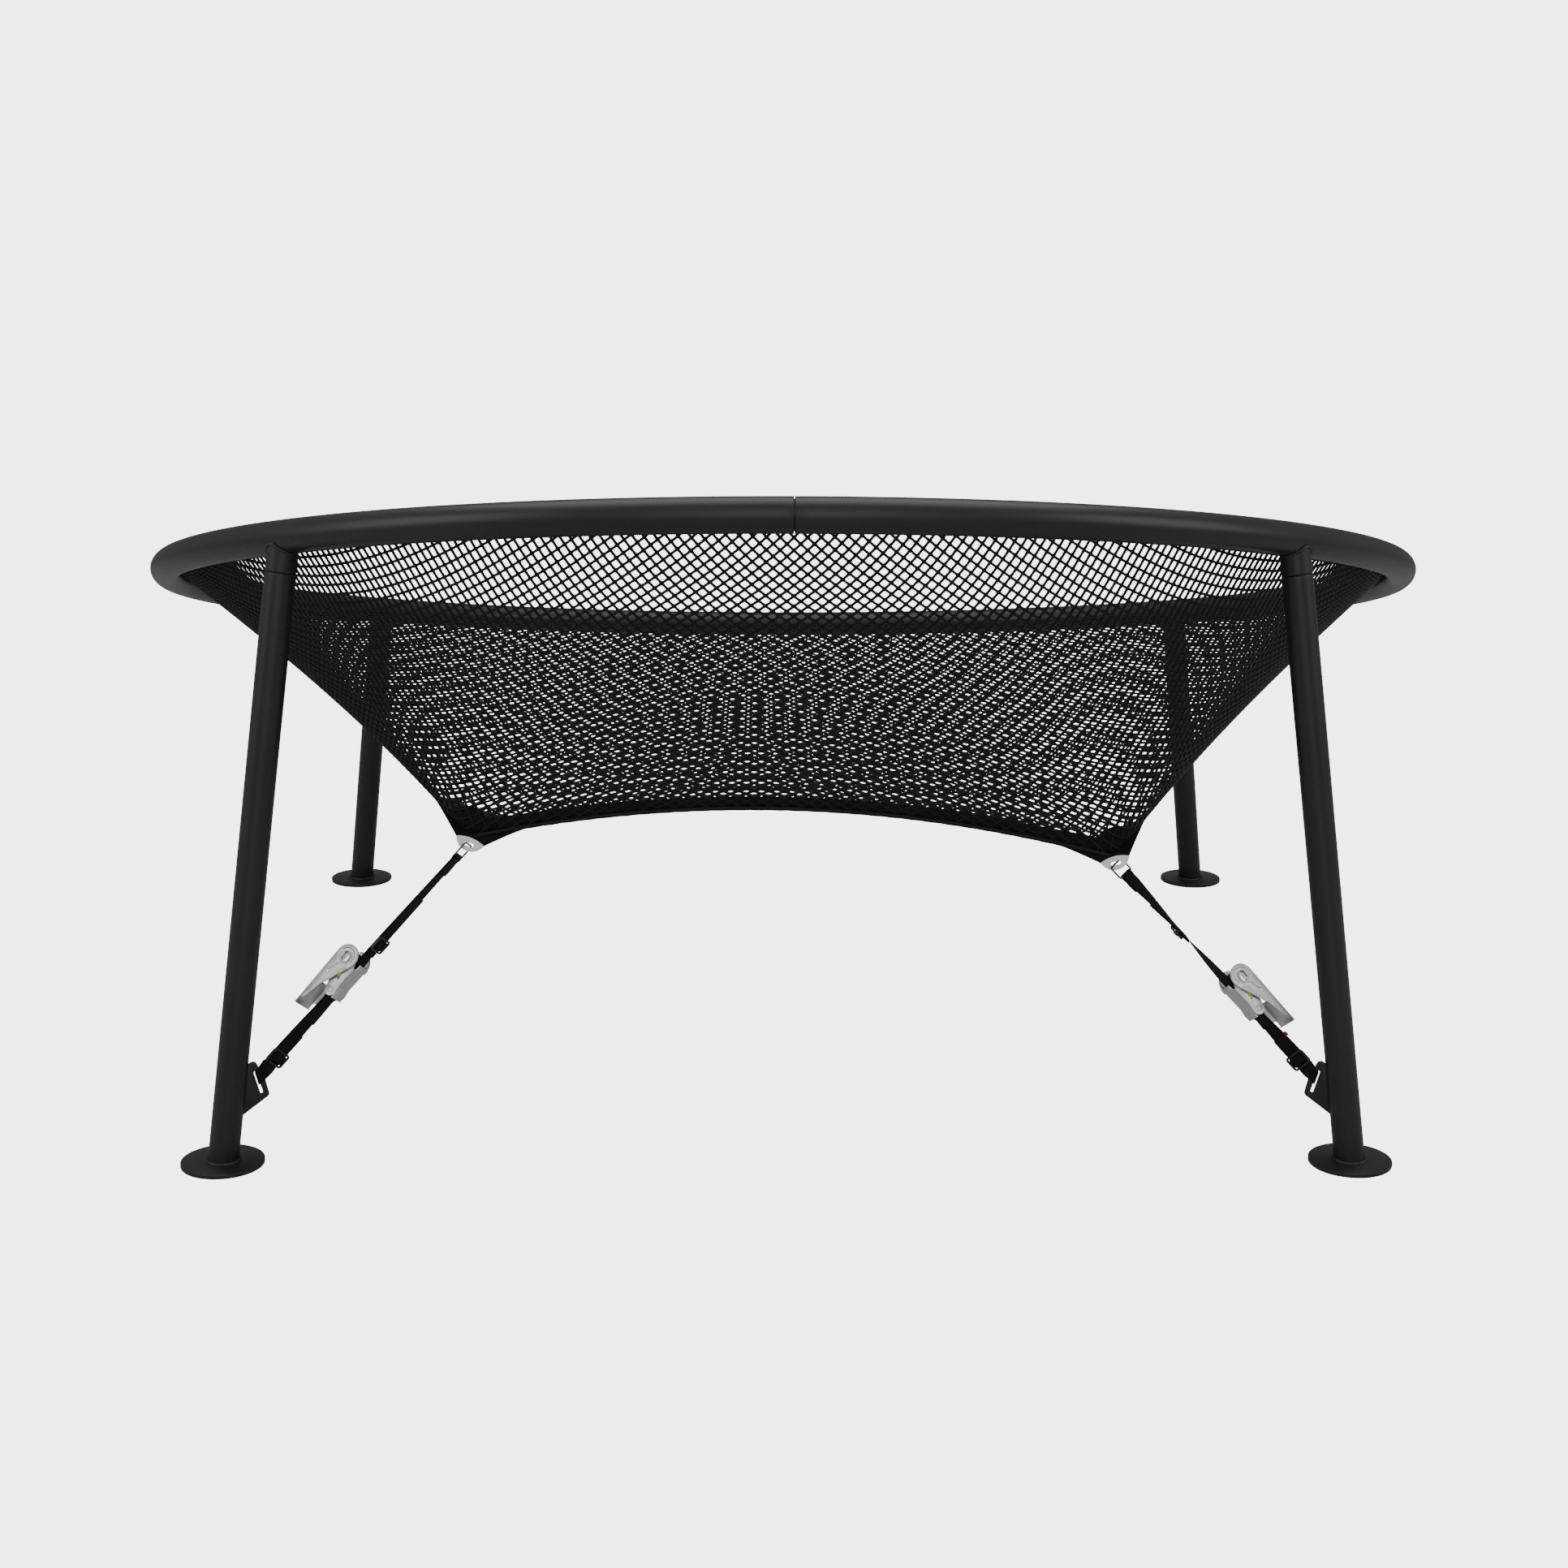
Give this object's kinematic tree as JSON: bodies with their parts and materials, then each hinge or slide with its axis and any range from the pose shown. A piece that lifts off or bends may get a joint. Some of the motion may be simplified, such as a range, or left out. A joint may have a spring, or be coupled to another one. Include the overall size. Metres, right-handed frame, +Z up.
{
  "type": "tilted rebound net game frame",
  "caption": "Tilted round tube frame on splayed legs, with a taut net that ratchet straps pull down to the near legs.",
  "frame": {"origin": "on the floor under the middle of the ring", "axes": "+X to the right of the near side, +Y away from the near (high) side, +Z up"},
  "size_m": [2.067, 2.007, 0.9893],
  "materials": {
    "black_coat": "satin",
    "bare_steel": "satin",
    "net_rubber_cord": "matte",
    "webbing": "matte",
    "slider_plastic": "matte",
    "plate_plastic": "satin",
    "zinc_wire": "polished",
    "red_fabric": "matte",
    "zinc_plate": "satin",
    "spring_steel": "satin"
  },
  "bodies": {
    "base": {"ring_half_left": "black_coat", "ring_half_right": "black_coat", "ring_spigots": "bare_steel", "leg_near_left": "black_coat", "leg_near_right": "black_coat", "leg_far_left": "black_coat", "leg_far_right": "black_coat", "foot_plates": "black_coat", "net_band": "net_rubber_cord", "net": "net_rubber_cord", "net_keel_tape": "net_rubber_cord", "net_lugs": "net_rubber_cord", "anchor_plates": "black_coat", "strap_sliders": "slider_plastic", "corner_plates": "plate_plastic", "wire_links": "zinc_wire", "red_tab": "red_fabric", "ratchet_frames": "zinc_plate", "lower_webbing_left": "webbing", "lower_webbing_right": "webbing", "upper_webbing_left": "webbing", "upper_webbing_right": "webbing", "lock_spring_left": "spring_steel", "lock_spring_right": "spring_steel"},
    "handle_left": {"ratchet_handle_left": "zinc_plate", "drive_spring_left": "spring_steel"},
    "spindle_body_left": {"spindle_left": "zinc_plate", "webbing_roll_left": "webbing"},
    "drive_pawl_body_left": {"drive_pawl_left": "zinc_plate"},
    "lock_pawl_body_left": {"lock_pawl_left": "zinc_plate"},
    "handle_right": {"ratchet_handle_right": "zinc_plate", "drive_spring_right": "spring_steel"},
    "spindle_body_right": {"spindle_right": "zinc_plate", "webbing_roll_right": "webbing"},
    "drive_pawl_body_right": {"drive_pawl_right": "zinc_plate"},
    "lock_pawl_body_right": {"lock_pawl_right": "zinc_plate"}
  },
  "joints": [
    {"name": "handle_hinge_left", "type": "hinge", "parent": "base", "child": "handle_left", "pos_m": [-0.63088, -0.69848, 0.27972], "axis": [0.304, 0.7715, -0.559], "range_deg": [0, 165]},
    {"name": "spindle_turn_left", "type": "hinge", "parent": "base", "child": "spindle_body_left", "pos_m": [-0.63088, -0.69848, 0.27972], "axis": [0.304, 0.7715, -0.559], "continuous": true},
    {"name": "drive_pawl_slide_left", "type": "slide", "parent": "handle_left", "child": "drive_pawl_body_left", "axis": [-0.8046, -0.1063, -0.5843], "range_m": [0, 0.006], "stiffness_N_per_m": 800, "springref_m": -0.004, "deforming": ["drive_spring_left"]},
    {"name": "lock_pawl_slide_left", "type": "slide", "parent": "base", "child": "lock_pawl_body_left", "axis": [-0.3939, -0.4325, -0.8111], "range_m": [0, 0.005], "stiffness_N_per_m": 800, "springref_m": -0.004, "deforming": ["lock_spring_left"]},
    {"name": "handle_hinge_right", "type": "hinge", "parent": "base", "child": "handle_right", "pos_m": [0.65254, -0.70424, 0.25227], "axis": [0.2566, -0.7907, 0.5559], "range_deg": [0, 165]},
    {"name": "spindle_turn_right", "type": "hinge", "parent": "base", "child": "spindle_body_right", "pos_m": [0.65254, -0.70424, 0.25227], "axis": [0.2566, -0.7907, 0.5559], "continuous": true},
    {"name": "drive_pawl_slide_right", "type": "slide", "parent": "handle_right", "child": "drive_pawl_body_right", "axis": [0.8176, -0.1292, -0.5611], "range_m": [0, 0.006], "stiffness_N_per_m": 800, "springref_m": -0.004, "deforming": ["drive_spring_right"]},
    {"name": "lock_pawl_slide_right", "type": "slide", "parent": "base", "child": "lock_pawl_body_right", "axis": [0.4019, -0.4358, -0.8054], "range_m": [0, 0.005], "stiffness_N_per_m": 800, "springref_m": -0.004, "deforming": ["lock_spring_right"]}
  ]
}
